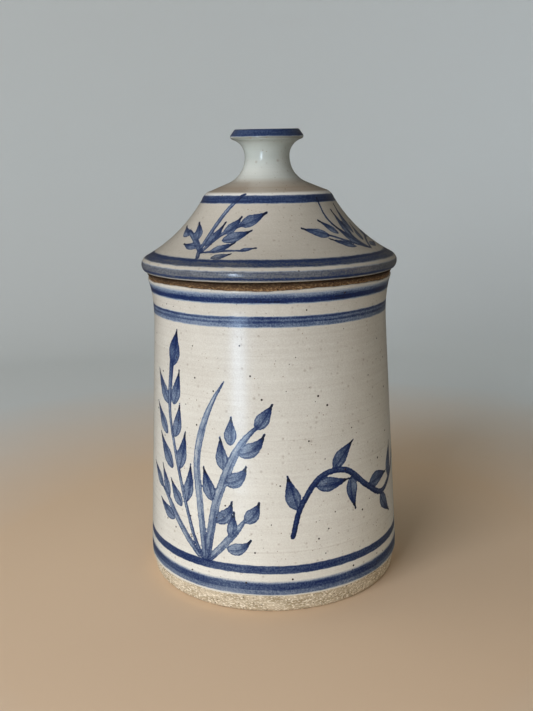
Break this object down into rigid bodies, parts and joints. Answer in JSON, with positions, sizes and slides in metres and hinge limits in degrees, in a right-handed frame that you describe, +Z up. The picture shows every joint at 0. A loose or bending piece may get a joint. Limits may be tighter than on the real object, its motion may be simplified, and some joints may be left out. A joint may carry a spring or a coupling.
{
  "type": "biscuit jar",
  "caption": "Lidded stoneware biscuit jar: tapered body, conical lid with rolled edge, locating flange and waisted knob, in white glaze with brushed blue bands and leaf sprays.",
  "frame": {"origin": "centre of the ring that the jar stands on, at table height", "axes": "+Z up along the wheel axis of the jar and its lid; -Y towards the side with the tall leaf spray"},
  "size_m": [0.159, 0.159, 0.2709],
  "materials": {
    "bare_stoneware": "matte, unglazed, with fine grog",
    "white_glaze": "satin gloss white glaze with iron speckle and brushed cobalt blue",
    "liner_glaze": "satin gloss white glaze with iron speckle"
  },
  "bodies": {
    "jar": {"jar_body": "bare_stoneware", "jar_outer_glaze": "white_glaze", "jar_liner_glaze": "liner_glaze"},
    "lid": {"lid_body": "bare_stoneware", "lid_knob": "bare_stoneware", "lid_outer_glaze": "white_glaze", "lid_liner_glaze": "liner_glaze"}
  },
  "joints": [
    {"name": "lid_lift", "type": "slide", "parent": "jar", "child": "lid", "axis": [0, 0, 1], "range_m": [0, 0.12]}
  ]
}
